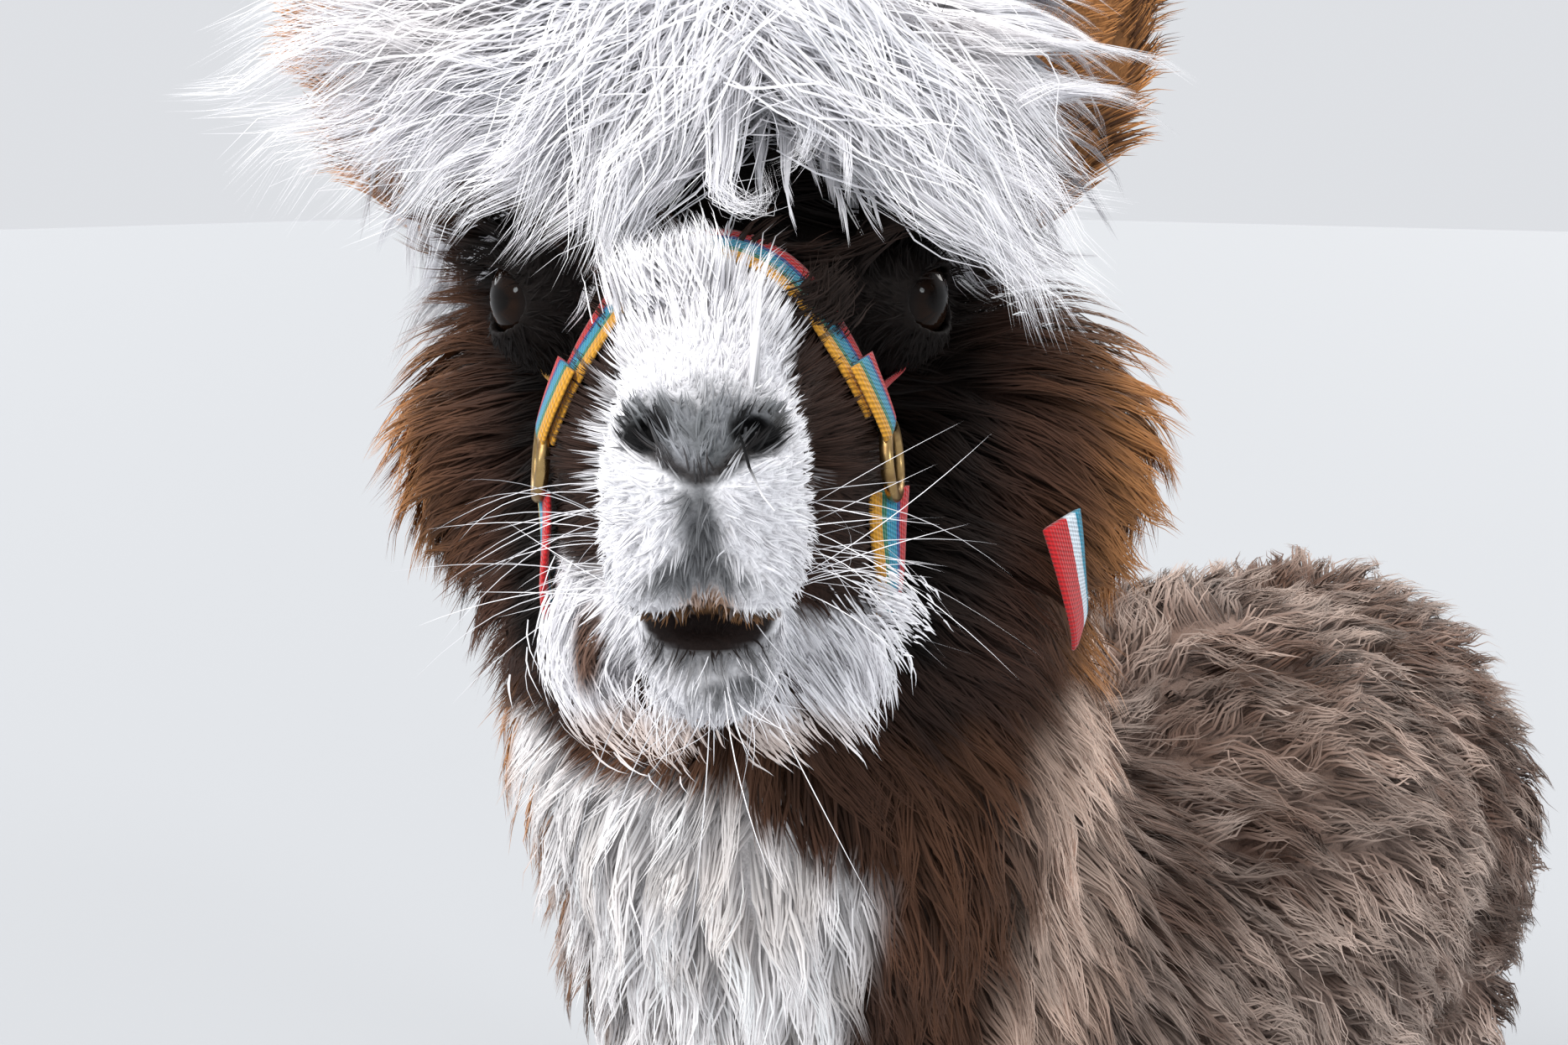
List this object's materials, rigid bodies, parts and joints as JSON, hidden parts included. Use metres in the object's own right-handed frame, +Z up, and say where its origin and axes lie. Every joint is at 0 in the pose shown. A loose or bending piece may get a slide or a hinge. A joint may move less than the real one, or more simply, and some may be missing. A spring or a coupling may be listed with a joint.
{
  "type": "huacaya alpaca, standing, in a halter",
  "caption": "Life-size standing huacaya alpaca, brown with a white topknot, blaze and bib, head turned to its left, in a striped woven halter.",
  "frame": {"origin": "on the floor, under the centre of the bounding box", "axes": "+Z up, -Y the way the body faces, +X towards the animal's left"},
  "size_m": [0.4594, 1.2076, 1.268],
  "materials": {
    "fleece": "dense soft wool in tufts, near-black to chestnut, white on the crown, blaze, chin and throat",
    "eye": "wet, glossy, very dark brown",
    "toenail": "dull horn",
    "webbing": "woven stripes of red, blue, green and yellow",
    "brass": "worn and dull"
  },
  "bodies": {
    "root": {"head": "fleece", "topknot": "fleece", "eye_left": "eye", "ear_left": "fleece", "eye_right": "eye", "ear_right": "fleece", "neck": "fleece", "trunk": "fleece", "tail": "fleece", "foreleg_left": "fleece", "nail_fore_left_inner": "toenail", "nail_fore_left_outer": "toenail", "hindleg_left": "fleece", "nail_hind_left_inner": "toenail", "nail_hind_left_outer": "toenail", "foreleg_right": "fleece", "nail_fore_right_inner": "toenail", "nail_fore_right_outer": "toenail", "hindleg_right": "fleece", "nail_hind_right_inner": "toenail", "nail_hind_right_outer": "toenail", "halter_noseband": "webbing", "halter_loose_end": "webbing", "halter_jaw_strap_left": "webbing", "halter_cheek_strap_left": "webbing", "halter_jaw_strap_right": "webbing", "halter_cheek_strap_right": "webbing", "halter_ring_left": "brass", "halter_ring_right": "brass"}
  },
  "joints": []
}
